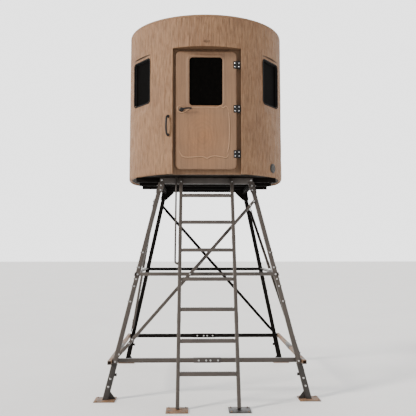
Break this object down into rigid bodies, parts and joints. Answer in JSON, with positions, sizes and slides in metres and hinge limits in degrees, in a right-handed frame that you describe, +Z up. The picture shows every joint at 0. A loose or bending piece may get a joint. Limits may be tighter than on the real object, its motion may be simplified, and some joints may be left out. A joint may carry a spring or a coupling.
{
  "type": "elevated hunting blind",
  "caption": "Round moulded cabin with a recessed door and flat windows on a splayed, braced steel tower, reached by a leaning ladder with a handrail.",
  "frame": {"origin": "middle of the outline's bounding box, on the ground", "axes": "+X to the right seen from the door side, +Y away from the ladder and door, +Z up"},
  "size_m": [2.321, 2.753, 4.22],
  "materials": {
    "shell_plastic": "moulded bark texture",
    "door_plastic": "smooth moulded",
    "window_glass": "dark tinted",
    "black_hardware": "black powder coat",
    "port_plastic": "dark grey",
    "tower_steel": "taupe powder coat, scuffed",
    "dark_steel": "dark powder coat",
    "foot_steel": "powder coat with rust patches"
  },
  "bodies": {
    "body": {"roof": "shell_plastic", "floor_pan": "shell_plastic", "front_left_wall": "shell_plastic", "front_right_wall": "shell_plastic", "rear_left_wall": "shell_plastic", "rear_right_wall": "shell_plastic", "rear_wall": "shell_plastic", "door_lintel": "shell_plastic", "door_surround": "shell_plastic", "window_front_left": "window_glass", "window_front_right": "window_glass", "window_rear_left": "window_glass", "window_rear_right": "window_glass", "window_rear": "window_glass", "grab_handle": "black_hardware", "hinge_frame_plates": "black_hardware", "handrail": "black_hardware", "port_cover": "port_plastic", "leg_front_left": "tower_steel", "leg_front_right": "tower_steel", "top_frame": "tower_steel", "mid_brace_front": "tower_steel", "mid_brace_left": "tower_steel", "mid_brace_right": "tower_steel", "low_brace_front": "tower_steel", "low_brace_left": "tower_steel", "low_brace_right": "tower_steel", "diagonal_front": "tower_steel", "diagonal_left": "tower_steel", "diagonal_right": "tower_steel", "ladder": "tower_steel", "leg_rear_left": "dark_steel", "leg_rear_right": "dark_steel", "floor_rails": "dark_steel", "mid_brace_rear": "dark_steel", "low_brace_rear": "dark_steel", "diagonal_rear": "dark_steel", "foot_front_left": "foot_steel", "foot_front_right": "foot_steel", "foot_rear_left": "foot_steel", "foot_rear_right": "foot_steel"},
    "door": {"door_leaf": "door_plastic", "door_window": "window_glass", "hinge_door_plates": "black_hardware"},
    "lever": {"lever_handle": "black_hardware"}
  },
  "joints": [
    {"name": "door_hinge", "type": "hinge", "parent": "body", "child": "door", "pos_m": [0.333, -0.611, 3.0855], "axis": [0, 0, 1], "range_deg": [0, 110]},
    {"name": "lever_turn", "type": "hinge", "parent": "door", "child": "lever", "pos_m": [-0.281, -0.634, 3.086], "axis": [0, 1, 0], "range_deg": [0, 45], "stiffness_Nm_per_rad": 0.8, "springref_deg": -20.05}
  ]
}
